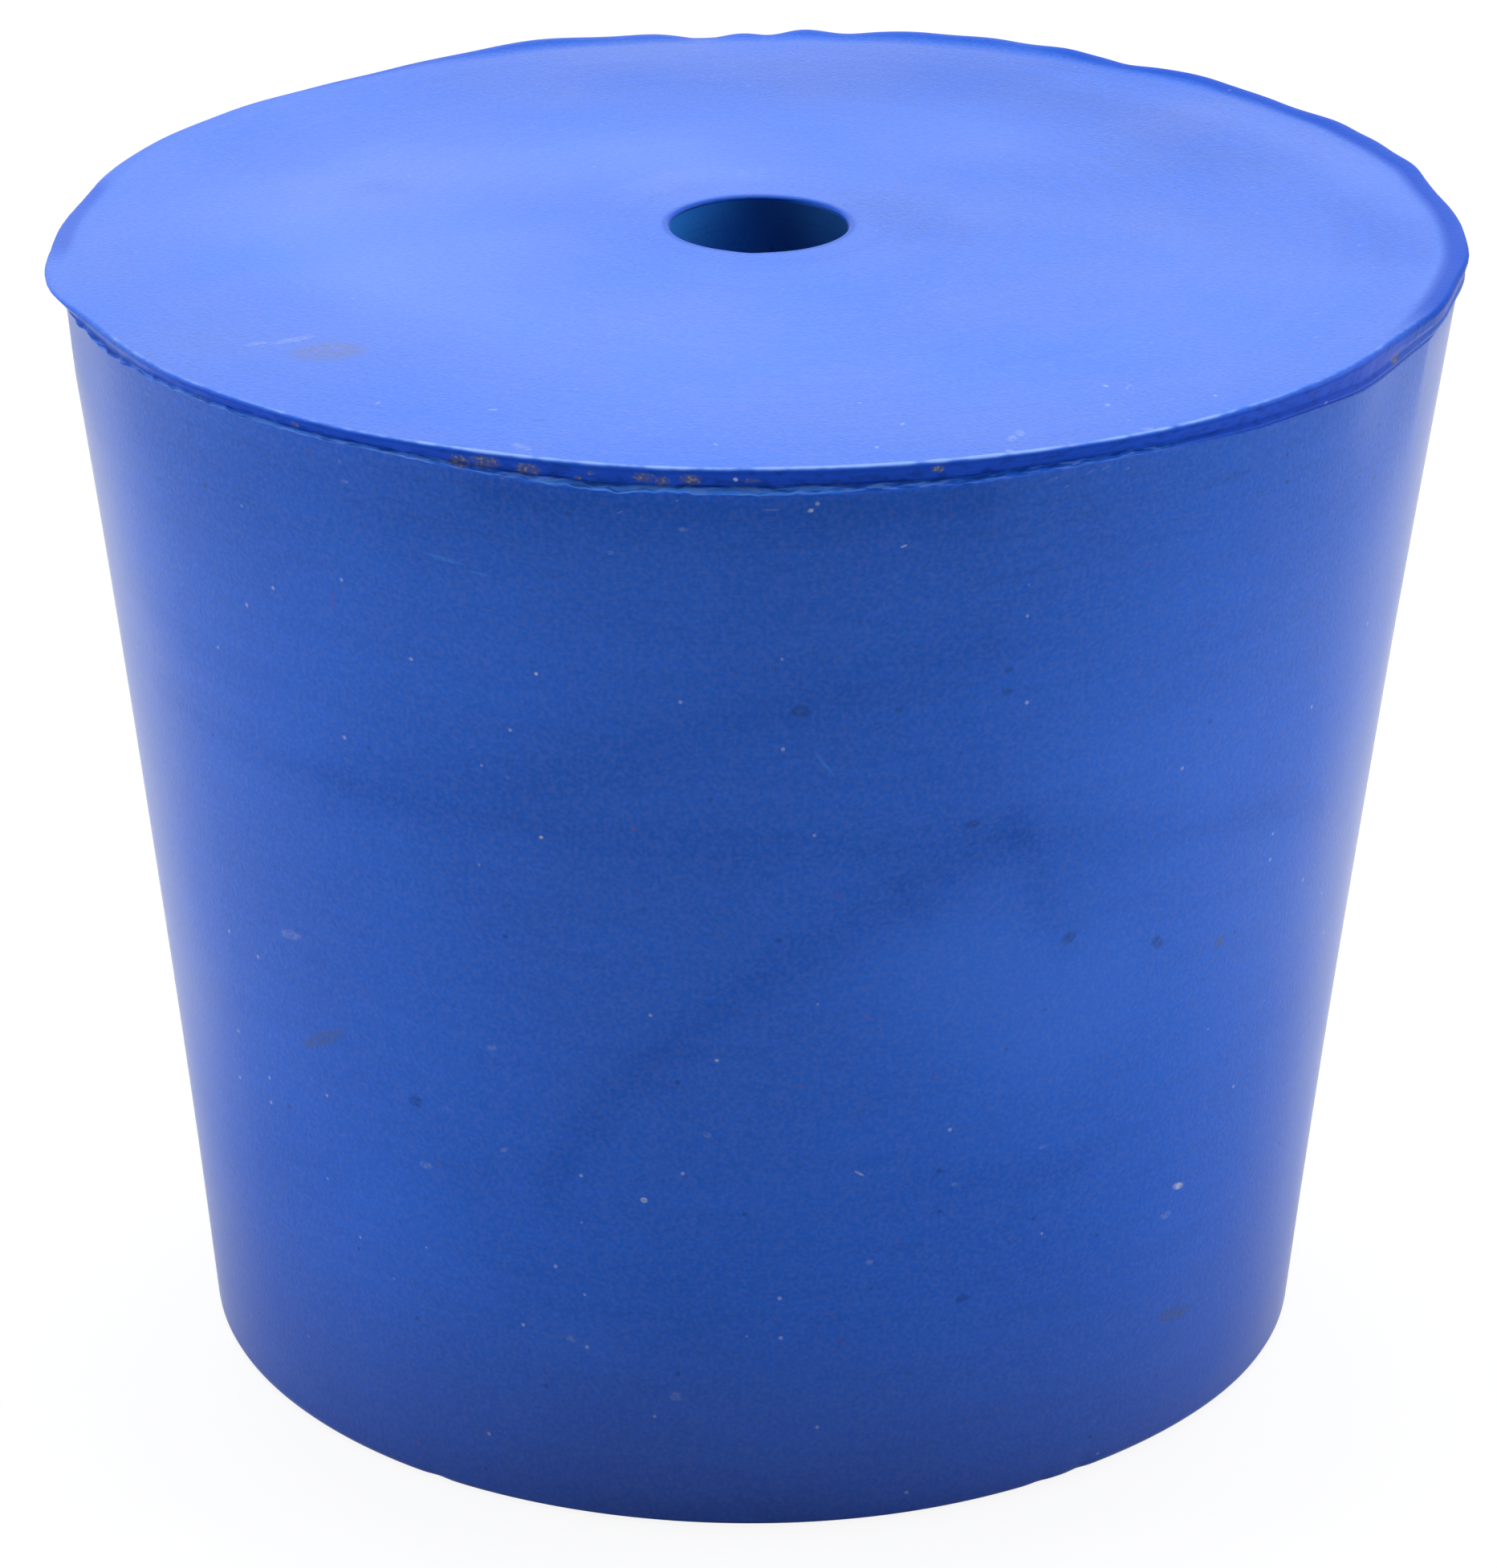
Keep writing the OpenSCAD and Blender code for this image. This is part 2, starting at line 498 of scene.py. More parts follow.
def skin_push(place, radius, angle, share, rim, outer):
    """How far the side's swell, the base's chips and the hole's uneven lip move a point."""
    fade = smooth((SIDE_START - place.z) / SWELL_FADE) * smooth(place.z / SWELL_FADE)
    push = fade * outer * SWELL * grain_at(place, SWELL_SIZE, SWELL_SEED)
    if radius > CHIPS_FROM:
        push -= math.exp(-(place.z / CHIP_HEIGHT) ** 2) * rim["chips"]
    if share["hole"] == 1 and place.z > HEIGHT - MOUTH_ROUND:
        push += dent(angle, *NICK) + LIP_RAG * grain_at(place, LIP_RAG_SIZE, LIP_SEED)
    return push


print("the side swells by", SWELL, "mm, in bumps of", SWELL_SIZE, "mm")


# %% Say how far a point moves up
def lift_of(radius, share, rim, down, near_rim):
    """How far the turned-up edge, the tear, the thin sheet and the tilt raise a point."""
    turned_up = share["curl"] * CURL_RISE * rim["curl"]
    torn_up = share["tear"] * rim["force"] * RAG_DROP * rim["drop"]
    thinned = down * rim["thin"] - smooth(down / RIM_THICKNESS) * rim["hang"]
    return turned_up + torn_up + near_rim * (thinned + rim["tilt"] * radius / TOP_R)


print("the top face tilts by", TILT, "mm toward", TILT_TO, "degrees")

# %% Move every point to its place
# The shares that the colours follow are written back, each with the strength it has here.
for point in moulding.verts:
    x, y, z = point.co
    radius = math.hypot(x, y)
    angle = math.degrees(math.atan2(y, x)) % 360
    turn = math.radians(angle)
    down = HEIGHT - z
    outer = float(radius > BORE_END)
    near_rim = outer * (1 - smooth((down - RIM_THICKNESS) / BLEND))
    rim = rim_shape(angle)
    force = min(rim["force"], 1)
    share = {name: point[layer] for name, layer in layers.items()}
    share["whole"] = share["tear"] * (1 - force)        # this much of the bead was never torn
    lift = lift_of(radius, share, rim, down, near_rim)
    moved = radius + rim_push(share, rim, down, outer)
    moved += skin_push(point.co, radius, angle, share, rim, outer)
    strengths = {
        "tear": share["tear"] * rim["force"],
        "slit": share["slit"] * force * max(1 - CREASE_SHADE_FADING * rim["thin"], 0),
        "land": min(share["land"] + share["whole"], 1) * rim["deep"],
        "depth": share["depth"] * rim["bore_shade_share"],
        "wear": share["wear"] * max(rim["highlight_here"], 0),
    }
    for name, strength in strengths.items():
        point[layers[name]] = strength
    point.co.x = moved * math.cos(turn) + LEAN * z / HEIGHT
    point.co.y = moved * math.sin(turn)
    point.co.z = min(z + lift, HEIGHT + CURL_RISE)
print("the rim now stands", round(max(point.co.x for point in moulding.verts), 2), "mm out at +X")

# %% [markdown]
# ## Clouds, flow lines and painted light
# Pressed rubber is not one even blue. Bloom lies on it in clouds, and the compound leaves faint
# dark lines where two fronts met in the mould. Some tones are painted light and shade instead:
# deeper under the rim, paler on the flanks and at mid height, and on the top face paler toward
# the front and the left and deeper toward the back and the right. These shapes are wide and soft,
# so they are painted on the points of the mesh as one tone: above 0 is paler, and below 0 is
# deeper.

# %% List the clouds, flow lines and painted light and shade of the side
FRONT = 270                     # direction of the side's middle line, in degrees from +X
SIDE_R = 16.0                   # mean radius of the side, for turning degrees into millimetres

# A path is a list of (direction in degrees, height), with a half width and a tone.
SIDE_TONES = [
    ([(251, 9.6), (256, 11.7), (262, 13.6), (268, 15.1), (275, 16.6), (292, 19.1)], 0.6, -0.22),
    ([(206, 19.6), (262, 19.3), (292, 19.0), (302, 18.4), (317, 17.9), (330, 16.8)], 0.45, -0.16),
    ([(232, 19.5), (242, 20.2), (252, 20.7), (262, 21.8), (272, 22.9), (288, 24.1)], 0.8, -0.16),
    ([(282, 18.2), (285, 17.0)], 0.3, -0.16),
    ([(292, 19.5), (295, 17.4), (298, 15.6)], 0.5, -0.16),
    ([(285, 9.7), (302, 9.4)], 0.4, -0.12),
    ([(289, 15.5), (297, 14.2)], 2.4, 0.5),
    ([(296, 20.6), (310, 20.0)], 1.8, 0.2),
    ([(236, 24.0), (248, 24.4)], 2.2, 0.12),
    ([(226, 7.0), (238, 6.6)], 2.2, 0.14),
    ([(249, 5.0), (255, 5.0)], 0.6, 0.15),
    ([(205, 7.0), (222, 8.0)], 1.6, -0.14),
    ([(204, 22.0), (224, 21.4)], 0.7, -0.15),
    # Painted shade under the rim.
    ([(245, 27.6), (286, 27.6)], 1.5, -0.1),
    ([(250, 28.2), (287, 28.2)], 0.8, -0.35),
    # The rows below are painted light: paler where the flanks and the middle height get more light,
    # with a painted sheen on the flanks.
    ([(311, 17.0), (318, 15.0)], 3.0, 0.25),
    ([(204, 26.0), (206, 8.0)], 2.5, 0.15),
    ([(335, 27.0), (333, 14.0)], 2.5, 0.2),
    ([(208, 22.0), (216, 21.0)], 3.5, 0.2),
    ([(306, 22.5), (316, 22.0)], 3.5, 0.2),
    ([(240, 13.0), (296, 12.5)], 5.0, 0.1),
]


def off_path(across, up, path):
    """Distance in millimetres from a place to a path of straight pieces."""
    nearest = math.inf
    for (x0, y0), (x1, y1) in zip(path, path[1:]):
        length = math.hypot(x1 - x0, y1 - y0)
        run = ((across - x0) * (x1 - x0) + (up - y0) * (y1 - y0)) / length ** 2
        run = min(max(run, 0), 1)
        gap = math.hypot(across - x0 - run * (x1 - x0), up - y0 - run * (y1 - y0))
        nearest = min(nearest, gap)
    return nearest


def side_place(direction, height):
    """A place on the side as millimetres round from its middle line, and millimetres up."""
    return math.radians(direction - FRONT) * SIDE_R, height


SIDE_TONES = [([side_place(*p) for p in path], *rest) for path, *rest in SIDE_TONES]
print(len(SIDE_TONES), "tones on the side")

# %% List the clouds and the painted light and shade of the top face
# Here a path is a list of (x, y), measured from the plug's axis.
TOP_TONES = [
    ([(-9.5, 6.6), (-11.1, 3.6), (-11.3, 0.6), (-10.7, -2.4), (-9.4, -4.5)], 1.1, 0.13),
    ([(-9.6, -3.4), (-7.7, -6.2), (-6.0, -7.0)], 1.8, 0.14),
    ([(-8.1, 4.6), (-5.1, 5.7), (-2.6, 5.9), (-1.0, 4.4)], 1.8, 0.16),
    ([(-4.4, 0.8), (-2.6, -1.0)], 2.0, -0.07),
    ([(3.2, 1.2), (4.4, -0.6)], 1.3, -0.2),
    ([(5.8, 3.9), (7.6, 3.0)], 1.7, -0.08),
    ([(10.6, 7.0), (11.4, 5.4)], 1.6, -0.08),
    ([(-3.4, 12.9), (0.6, 12.4)], 1.6, -0.08),
    ([(-13.6, 8.6), (-12.8, 6.6)], 1.6, -0.07),
    ([(5.2, 8.8), (6.4, 7.6)], 1.8, 0.08),
    # A painted sheen along the foot of the turned-up edge.
    ([(8.6, 13.0), (12.8, 9.4), (15.2, 5.8), (16.4, 1.6)], 0.8, 0.18),
    ([(3.0, -8.2), (4.0, -7.8)], 1.0, -0.08),
    # The wide rows below are painted light and shade: paler toward the front and the left, deeper
    # toward the back and the right.
    ([(-11, 1), (-7, -6), (-2, -12)], 4.5, 0.2),
    ([(0, -8), (6, -12)], 4.5, 0.15),
    ([(10.5, 4), (13.5, -1)], 3.0, -0.13),
    ([(-10.5, -1), (-7, -1)], 3.0, 0.14),
    ([(-4.2, 6.2), (-3, 5)], 2.5, 0.1),
    ([(11, -8), (13, -4)], 4.0, 0.14),
    ([(-7, 13.5), (0, 13.5), (8, 13), (13, 7.5)], 4.0, -0.25),
    ([(5, 14), (9, 12)], 3.5, -0.2),
    ([(15.5, 2), (15.8, -2)], 1.2, -0.2),
    ([(-9.5, 3.5), (-9.4, 3.2)], 0.5, -0.2),
]


def tone_at(across, up, tones):
    """All tones together at one place."""
    return sum(
        tone * math.exp(-(off_path(across, up, path) / width) ** 2)
        for path, width, tone in tones
    )


print(len(TOP_TONES), "tones on the top face")

# %% [markdown]
# ### The shaded edge and the bare lip
# Along part of the rim the slope of the turned-up sheet gets less light, so a deeper and clearer
# blue without bloom is painted there as painted shade. It is painted on the points too, a little
# wider where a lobe stands out. Round the mouth of the hole the bloom is rubbed off.

# %% Paint the tones, the painted shade of the edge and the bare lip
FACE_BAND = 0.3                 # points this near the top face's height belong to it
EDGE_SHADE_WIDTH = 0.42
EDGE_SHADE_LOBES = 0.1                # a full lobe widens the painted edge shade by this much
LIP_CLEAR = 0.6                 # the share of bloom that is missing at the mouth of the hole
EDGE_SHADE_FADE = 0.3
# Each is (start, end, fade, share).
EDGE_SHADE_SPANS = [
    (-25, 40, 14, 1), (40, 62, 10, 0.75), (62, 130, 14, 0.5), (130, 166, 10, 0.2),
    (166, 187, 8, 0.6),
]

tone_layer = moulding.verts.layers.float.new("tone")
edge_shade_and_lip_layer = moulding.verts.layers.float.new("edge_shade_and_bare_lip")
for point in moulding.verts:
    x, y, z = point.co
    direction = math.degrees(math.atan2(y, x)) % 360
    if z > HEIGHT - FACE_BAND:
        point[tone_layer] = tone_at(x, y, TOP_TONES)
        inward = LAND_R + rim_shape(direction)["wave"] - math.hypot(x - LEAN, y)
        clear = over_spans(direction, EDGE_SHADE_SPANS)
        width = EDGE_SHADE_WIDTH * (1 + clear) / 2 + EDGE_SHADE_LOBES * lobes_at(direction)
        edge_share = 1 - smooth((inward - width) / EDGE_SHADE_FADE)
        from_lip = math.hypot(x - LEAN, y) - HOLE_R - MOUTH_ROUND - HOLD
        lip_share = 1 - smooth(from_lip / LIP_WIDTH)
        # Painted shade on the slope of the turned-up edge, and the bare lip round the hole.
        point[edge_shade_and_lip_layer] = max(edge_share * clear, lip_share * LIP_CLEAR)
    elif math.hypot(x, y) > CHIPS_FROM:
        point[tone_layer] = tone_at(*side_place(direction, z), SIDE_TONES)
tones = [point[tone_layer] for point in moulding.verts]
print("painted tones run from", round(min(tones), 2), "to", round(max(tones), 2))

# %% Set the plug in front of the hole and hand the mesh over
for point in moulding.verts:
    point.co.y -= HOLE_SHIFT * (1 - point[layers["hole"]])
bmesh.ops.scale(moulding, vec=(MM, MM, MM), verts=moulding.verts)
bmesh.ops.recalc_face_normals(moulding, faces=moulding.faces)
for face in moulding.faces:
    face.smooth = True
mesh = bpy.data.meshes.new("stopper_moulding")
moulding.to_mesh(mesh)
moulding.free()
piece = bpy.data.objects.new("stopper_moulding", mesh)
bpy.context.scene.collection.objects.link(piece)
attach(piece, "root")
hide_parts("stopper")
triangles = sum(len(face.vertices) - 2 for face in mesh.polygons)
print("the piece has", triangles, "triangles")

# %% [markdown]
# ## Colours and nodes
# A shader works with linear light, and a hex colour is written for a screen, so one function turns
# the one into the other. A second function adds a node with its settings and inputs. A third one
# lays one colour over another, which is how every finish below is built up.

# %% Define the helpers for materials
MIX_FACTOR = 0                  # a colour Mix node's sockets go by number, as their names repeat
MIX_A = 6
MIX_B = 7
MIX_RESULT = 2
PER_MM = 1000                   # metres to millimetres, for a pattern's scale


def paint(hex_colour):
    """Turns an sRGB hex colour such as "#2060D0" into linear red, green, blue and alpha."""
    channels = [int(hex_colour[start:start + 2], 16) / 255 for start in (1, 3, 5)]
    linear = [c / 12.92 if c <= 0.04045 else ((c + 0.055) / 1.055) ** 2.4 for c in channels]
    return (*linear, 1)


def add(tree, kind, inputs=None, **settings):
    """Adds a node. An input is a value, or a socket or node to link from (its first output)."""
    made = tree.nodes.new("ShaderNode" + kind)
    for name, setting in settings.items():
        setattr(made, name, setting)
    for socket, given in (inputs or {}).items():
        if isinstance(given, bpy.types.Node):
            given = given.outputs[0]
        if isinstance(given, bpy.types.NodeSocket):
            tree.links.new(given, made.inputs[socket])
        else:
            made.inputs[socket].default_value = given
    return made


def lay(under, hex_colour, value, start=0.0, end=1.0, most=1.0, within=1.0):
    """Lays a colour over another: not at all at the value's start, and the most at its end."""
    tree = under.id_data
    rise = add(
        tree, "MapRange", {"Value": value, "From Min": start, "From Max": end, "To Max": most},
        interpolation_type="SMOOTHSTEP",
    )
    share = add(tree, "Math", {0: rise, 1: within}, operation="MULTIPLY")
    mix = add(
        tree, "Mix", {MIX_FACTOR: share, MIX_A: under, MIX_B: paint(hex_colour)},
        data_type="RGBA",
    )
    return mix.outputs[MIX_RESULT]


print("royal blue in linear light is", [round(part, 3) for part in paint("#2665E0")])

# %% [markdown]
# ## Moulded natural rubber
# The compound is natural rubber with a blue pigment, pressed hot in a turned steel mould. Fresh
# from the mould it has a matt face. With time a thin pale bloom of wax comes up through it. The
# bloom lies in clouds and makes the blue milky where light grazes it.

# %% Start the rubber, its coordinates and its areas
rubber = bpy.data.materials.new("moulded_natural_rubber")
rubber.use_nodes = True
tree = rubber.node_tree
tree.nodes.clear()
at = add(tree, "Mapping", {
    "Vector": add(tree, "TexCoord").outputs["Object"],
    "Scale": (PER_MM, PER_MM, PER_MM), "Location": (0, HOLE_SHIFT, 0),
})
xyz = add(tree, "SeparateXYZ", {"Vector": at}).outputs
areas = {
    name: add(tree, "Attribute", attribute_name=name).outputs["Fac"]
    for name in ("along", "tone", "land", "edge_shade_and_bare_lip", "depth", "tear", "slit", "wear")
}
print("patterns on", rubber.name, "are measured in millimetres from the plug's own axis")

# %% [markdown]
# ### Tone
# One number says how pale or deep the blue is. It starts in the middle, and each pattern adds to
# it or takes from it: the painted clouds and painted light and shade, wide noise for the sides that
# no cloud was painted on, lines left by the turning of the mould, and the fine grain of the
# compound.

# %% Make noise that is drawn out along the mould's turning
def turned_lines(spacing, length, detail):
    """Noise drawn out along the cuts of the mould: rings on the face, level lines on the side."""
    step = add(tree, "Math", {0: areas["along"], 1: 1 / spacing}, operation="MULTIPLY")
    drawn_out = add(
        tree, "VectorMath",
        {0: at, 1: (1 / length, 1 / length, 0), 2: add(tree, "CombineXYZ", {"Z": step})},
        operation="MULTIPLY_ADD",
    )
    return add(tree, "TexNoise", {"Vector": drawn_out, "Scale": 1, "Detail": detail})


LINE_SPACING = 0.35             # millimetres between the mould's turning marks
LINE_LENGTH = 4.0
turning = turned_lines(LINE_SPACING, LINE_LENGTH, detail=2)
print("turning marks lie about", LINE_SPACING, "mm apart")

# %% Add the patterns up into one tone
CLOUD_SIZE = 6.0
GRAIN_SIZE = 0.11
MIDDLE = 0.5

clouds = add(tree, "TexNoise", {"Vector": at, "Scale": 1 / CLOUD_SIZE, "Detail": 3})
grain = add(tree, "TexNoise", {"Vector": at, "Scale": 1 / GRAIN_SIZE, "Detail": 1})
amounts = {clouds: 0.6, turning: 0.35, grain: 0.75}       # how much each one counts
tone = areas["tone"]
for pattern, amount in amounts.items():
    tone = add(tree, "Math", {0: pattern, 1: amount, 2: tone}, operation="MULTIPLY_ADD")
centred = MIDDLE * (1 - sum(amounts.values()))
tone = add(tree, "Math", {0: tone, 1: centred}, operation="ADD", use_clamp=True)
blue = add(
    tree, "Mix", {MIX_FACTOR: tone, MIX_A: paint("#125DD0"), MIX_B: paint("#1E73F4")},
    data_type="RGBA",
)
colour = blue.outputs[MIX_RESULT]
print("one tone is made of", 1 + len(amounts), "patterns")

# %% [markdown]
# ### Bloom and dust
# The bloom is a fine dust of wax crystals. It is too fine to draw one by one, so a fine noise puts
# more of a greyish pale blue here and less there. Toward the base the blue is painted greyer and
# duller, as painted shade near the bench.

# %% Dust the blue and paint shade at its foot
BLOOM_SIZE = 0.12
BLOOM_SHIFT = (31, 17, 5)       # keeps its noise apart from the grain's
BLOOM_START = 0.35              # the noise's values between which the bloom comes in
BLOOM_FULL = 0.75
BLOOM_MOST = 0.085
FOOT_SHADE_TOP = 8.0                  # height where the painted shade at the foot ends
FOOT_SHADE_MOST = 0.2
moved = add(tree, "VectorMath", {0: at, 1: BLOOM_SHIFT}, operation="ADD")
crystals = add(tree, "TexNoise", {"Vector": moved, "Scale": 1 / BLOOM_SIZE, "Detail": 1})
colour = lay(colour, "#A4A8DA", crystals, BLOOM_START, BLOOM_FULL, most=BLOOM_MOST)
# Painted shade: greyer and duller toward the base.
colour = lay(colour, "#77708A", xyz["Z"], FOOT_SHADE_TOP, 0, most=FOOT_SHADE_MOST)
print("bloom has a size of", BLOOM_SIZE, "mm")

# %% [markdown]
# ### Land, shaded edge, bare lip and bore
# Less bloom lies on the land than on the side, so it stays deeper. The slope of the turned-up edge
# is painted a clearer, deeper blue as painted shade, and the lip of the hole is bare. The bore sees
# little light, and it is painted with light and shade: pale toward the back left, deep elsewhere.

# %% Colour the areas that follow the mesh
# Each is (area, colour, values of the area between which the colour comes in).
AREA_COLOURS = [
    # The bore's depth colours are painted light and shade: pale toward the back left near the lip,
    # and deep further down and elsewhere. The bare colour is painted shade on the slope of the
    # turned-up edge, and the lip's own blue where its bloom is rubbed off.
    ("land", "#1F58E0", 0, 1), ("edge_shade_and_bare_lip", "#1150C6", 0, 1), ("depth", "#3A98FF", 0, 0.5),
    ("depth", "#2C68B4", 0.5, 0.85), ("depth", "#1C4680", 0.9, 1),
]
for name, hex_colour, start, end in AREA_COLOURS:
    colour = lay(colour, hex_colour, areas[name], start, end)
print(len(AREA_COLOURS), "colours follow the mesh")

# %% [markdown]
# ### The tear
# The torn bead is painted paler as painted light, where it catches the light from above, with
# painted highlights on its flakes and painted shade between them. The flakes are drawn out along
# the rim. They use the same long noise as the turning marks, but much finer. The land is mottled
# by crumbs of the same kind, the creases beside the bead get painted shade broken by the same
# crumbs, and the edge above the land gets a painted highlight.

# %% Paint light and shade on the bead and the creases, and the edge highlight
TEAR_START = 0.55
TEAR_FULL = 0.95
TEAR_STRONG = 1.05              # above this the bead is painted paler still, as painted light
TEAR_STRONGEST = 1.5
flake_light_and_shade = turned_lines(spacing=0.09, length=0.5, detail=2)
crumbs = turned_lines(spacing=0.16, length=0.35, detail=2)
torn_here = add(tree, "MapRange", {
    "Value": areas["tear"], "From Min": TEAR_START, "From Max": TEAR_FULL,
})
# Each is (colour, pattern, its values between which the colour comes in, strength, where).
TEAR_COLOURS = [
    # The first four rows are painted light and shade on the bead: paler where it catches the light
    # from above, with painted highlights on its flakes and painted shade between them.
    ("#2468EA", areas["tear"], TEAR_START, TEAR_FULL, 1.0, 1.0),
    ("#4A90FF", areas["tear"], TEAR_STRONG, TEAR_STRONGEST, 0.8, 1.0),
    ("#6CA0FF", flake_light_and_shade, 0.5, 0.62, 0.7, torn_here),
    ("#0F3288", flake_light_and_shade, 0.45, 0.34, 0.6, torn_here),
    # Painted shade in the creases above and below the bead, broken up by crumbs.
    ("#0B2A70", crumbs, 0.4, 0.62, 0.22, areas["slit"]),
    ("#0E2F86", crumbs, 0.5, 0.68, 0.3, areas["land"]),
    # Painted highlight along the round edge above the land.
    ("#8FB8FF", areas["wear"], 0.1, 1.0, 0.75, 1.0),
]
for hex_colour, pattern, start, end, most, within in TEAR_COLOURS:
    colour = lay(colour, hex_colour, pattern, start, end, most, within)
print("the tear is drawn with", len(tree.nodes), "nodes so far")

# %% [markdown]
# ### Marks
# A used stopper has a few marks of its own: pale grit, dark and reddish specks in the compound, a
# bright scratch, smears, and soil in the corner under the lip. Each one is a soft oval. A Mapping
# node set to Texture turns and scales the surface so that the oval becomes a circle, and a ball
# gradient fills the circle.

# %% Make soft ovals from a list
OVAL_REACH = 1.5                # an oval fades out at this many times its half width
OVAL_START = 0.08               # the ball's values between which an oval fades in
OVAL_FULL = 0.58


def ovals(surface, marks):
    """Adds one ball for each mark, and returns the strongest of them at each place."""
    strongest = None
    for across, up, half_across, half_up, tilt in marks:
        unit = add(tree, "Mapping", {
            "Vector": surface, "Location": (across, up, 0),
            "Rotation": (0, 0, math.radians(tilt)),
            "Scale": (half_across * OVAL_REACH, half_up * OVAL_REACH, 1),
        }, vector_type="TEXTURE")
        ball = add(tree, "TexGradient", {"Vector": unit}, gradient_type="SPHERICAL")
        ball = ball.outputs["Fac"]
        if strongest is not None:
            ball = add(tree, "Math", {0: strongest, 1: ball}, operation="MAXIMUM")
        strongest = ball
    return strongest


print("an oval fades out at", OVAL_REACH, "times its half width")

# %% Unroll the side and lay the top face flat
toward_front = add(tree, "Math", {0: xyz["Y"], 1: -1}, operation="MULTIPLY")
bearing = add(tree, "Math", {0: xyz["X"], 1: toward_front}, operation="ARCTAN2")
round_mm = add(tree, "Math", {0: bearing, 1: SIDE_R}, operation="MULTIPLY")
at_top = add(tree, "Math", {0: xyz["Z"], 1: HEIGHT - FACE_BAND}, operation="GREATER_THAN")
on_face = add(
    tree, "Math", {0: at_top, 1: areas["land"]}, operation="SUBTRACT", use_clamp=True,
)
off_face = add(tree, "Math", {0: 1, 1: on_face}, operation="SUBTRACT")
surfaces = {
    "side": (add(tree, "CombineXYZ", {"X": round_mm, "Y": xyz["Z"]}), off_face),
    "top": (add(tree, "CombineXYZ", {"X": xyz["X"], "Y": xyz["Y"]}), on_face),
}
print("the side is unrolled about its middle line at", FRONT, "degrees")

# %% List the marks of the side
# Each is (direction in degrees, height, half width, half height, tilt in degrees).
SIDE_MARKS = {
    "grit": [
        (274.2, 28.07, 0.06, 0.05, 30), (260.0, 9.38, 0.09, 0.07, 0),
        (252.5, 23.51, 0.04, 0.04, 0), (252.1, 19.15, 0.05, 0.04, 0),
        (266.8, 13.42, 0.05, 0.04, 0), (279.7, 10.16, 0.13, 0.03, -30),
        (314.7, 7.70, 0.2, 0.09, -15), (268.6, 28.9, 0.05, 0.05, 0),
        (281.4, 27.05, 0.07, 0.03, 20),
    ],
    "bloom_fleck": [
        (293.0, 28.37, 0.12, 0.03, 12), (296.1, 28.40, 0.12, 0.03, 25),
        (297.4, 28.43, 0.1, 0.03, 20), (299.4, 28.31, 0.06, 0.03, 20),
        (294.2, 28.12, 0.06, 0.03, 20), (236.4, 28.16, 0.04, 0.06, 0),
        (259.8, 27.91, 0.08, 0.02, 30), (259.0, 26.86, 0.06, 0.05, 0),
        (251.3, 27.90, 0.04, 0.03, 0),
        (249.5, 20.64, 0.06, 0.06, 0), (246.2, 13.12, 0.12, 0.08, 0),
        (246.7, 10.28, 0.12, 0.06, 25), (238.2, 9.31, 0.2, 0.1, 0),
        (265.9, 11.33, 0.1, 0.07, 0), (288.8, 9.56, 0.1, 0.06, 0),
        (297.4, 10.17, 0.1, 0.06, 0), (280.9, 7.61, 0.1, 0.08, 0),
        (252.4, 5.14, 0.13, 0.1, 0), (262.6, 3.78, 0.16, 0.12, 0),
        (313.4, 6.98, 0.2, 0.1, 0), (224.0, 14.6, 0.4, 0.12, 10),
        (264.6, 27.57, 0.1, 0.06, 0), (271.3, 28.1, 0.15, 0.03, 0),
        (236.7, 27.67, 0.1, 0.05, 0),
    ],
    "red_speck": [
        (234.3, 24.43, 0.05, 0.3, 0), (283.5, 8.14, 0.08, 0.06, 0),
        (278.5, 5.37, 0.09, 0.07, 0), (233.5, 28.22, 0.1, 0.08, 0),
        (247.0, 28.28, 0.08, 0.06, 0),
    ],
    "dark_speck": [
        (273.7, 22.86, 0.22, 0.15, 0), (281.6, 22.79, 0.1, 0.08, 0),
        (290.5, 23.54, 0.1, 0.07, 0), (290.5, 22.97, 0.12, 0.09, 0),
        (288.3, 19.53, 0.16, 0.12, 0), (298.2, 15.95, 0.16, 0.2, -50),
        (308.0, 15.15, 0.24, 0.15, -40), (237.7, 11.08, 0.2, 0.16, 0),
        (290.2, 6.23, 0.17, 0.12, 0),
    ],
    "smear": [
        (226.9, 11.96, 0.9, 0.16, 28), (316.5, 3.84, 0.7, 0.2, -12),
        (316.2, 14.47, 0.2, 0.15, 0),
    ],
    "soil": [
        (247.3, 28.81, 0.22, 0.15, 0), (249.5, 28.88, 0.3, 0.15, 0),
        (252.9, 28.84, 0.26, 0.14, 0), (257.8, 28.91, 0.08, 0.05, 0),
        (256.8, 28.75, 0.08, 0.05, 0), (261.8, 28.89, 0.2, 0.12, 0),
        (263.2, 28.82, 0.14, 0.12, 0), (265.3, 28.88, 0.2, 0.13, 0),
        (269.8, 28.87, 0.18, 0.05, 0), (283.7, 28.98, 0.14, 0.08, 0),
        (331.6, 28.6, 0.2, 0.12, 0), (232.7, 28.91, 0.1, 0.07, 0),
    ],
    "scratch": [
        (245.4, 26.18, 0.4, 0.055, -8), (248.2, 25.95, 0.25, 0.03, -5),
        (275.7, 21.44, 0.04, 0.4, 35),
    ],
}
print(sum(len(marks) for marks in SIDE_MARKS.values()), "marks on the side")

